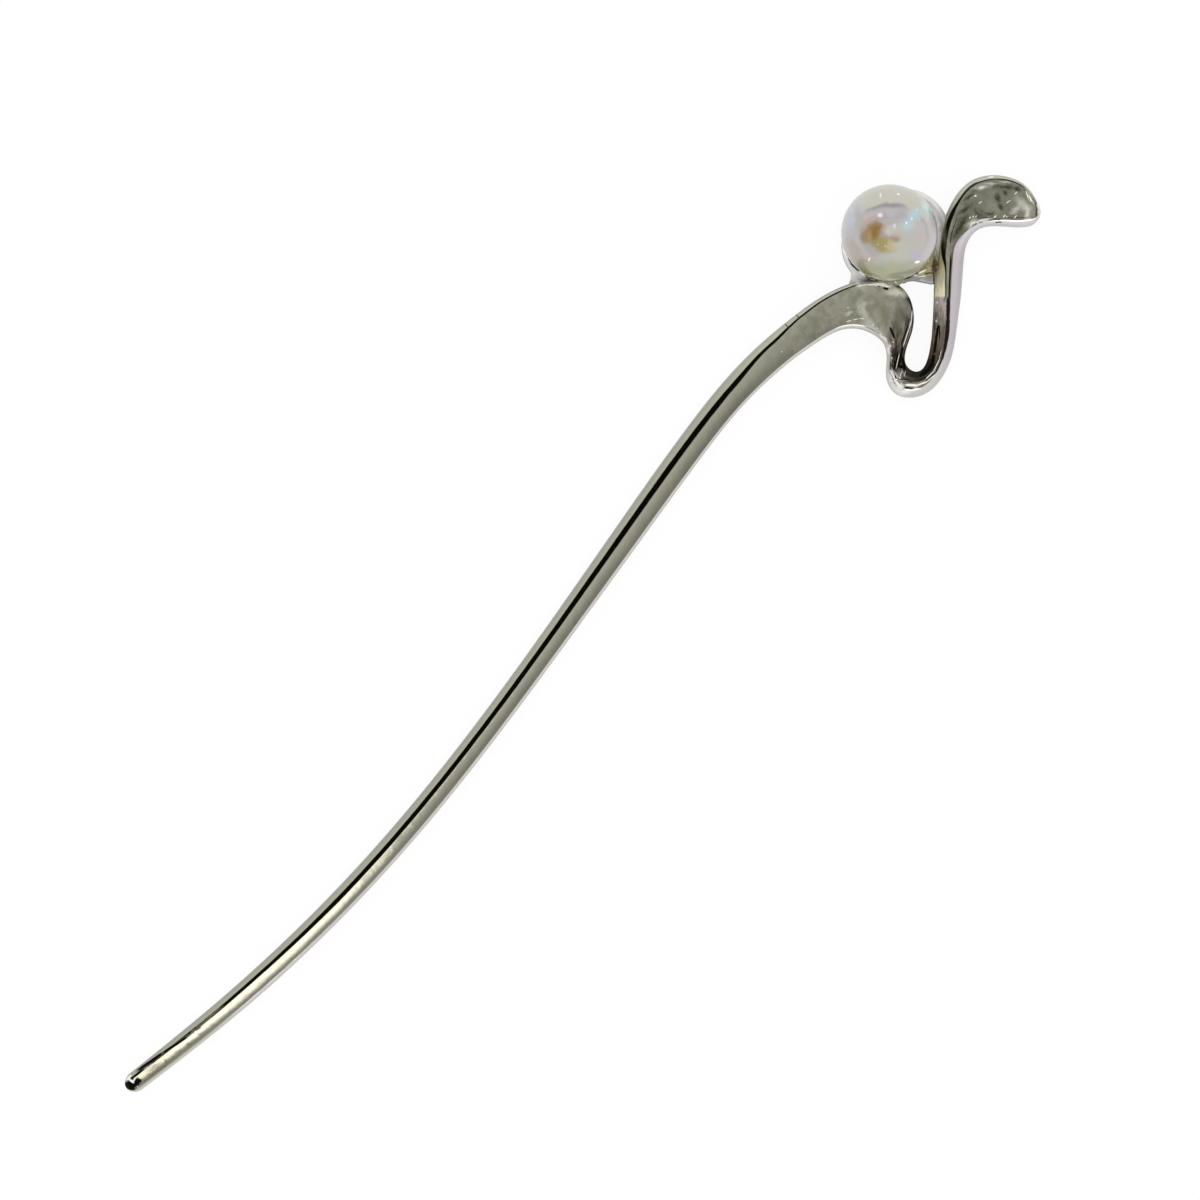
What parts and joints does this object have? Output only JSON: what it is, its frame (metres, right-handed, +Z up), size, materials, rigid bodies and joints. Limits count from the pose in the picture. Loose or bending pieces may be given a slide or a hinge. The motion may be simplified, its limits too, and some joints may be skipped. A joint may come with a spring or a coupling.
{
  "type": "hair stick",
  "caption": "Long cast-metal hair stick: a tapered rod that waves into a shoulder, a U and a curled leaf, with a pearl glued on a seat in the bend.",
  "frame": {"origin": "on the flat back, below the middle of the whole piece", "axes": "+X along the stick towards the leaf, +Y towards the pearl's side, +Z up out of the flat back"},
  "size_m": [0.1574, 0.0236, 0.0129],
  "materials": {
    "metal": "polished plated casting with small pits",
    "pearl": "glossy pearl lustre, ivory grey with a brown patch",
    "glue": "glossy yellowed glue"
  },
  "bodies": {
    "root": {"hair_stick": "metal", "pearl": "pearl", "glue": "glue"}
  },
  "joints": []
}
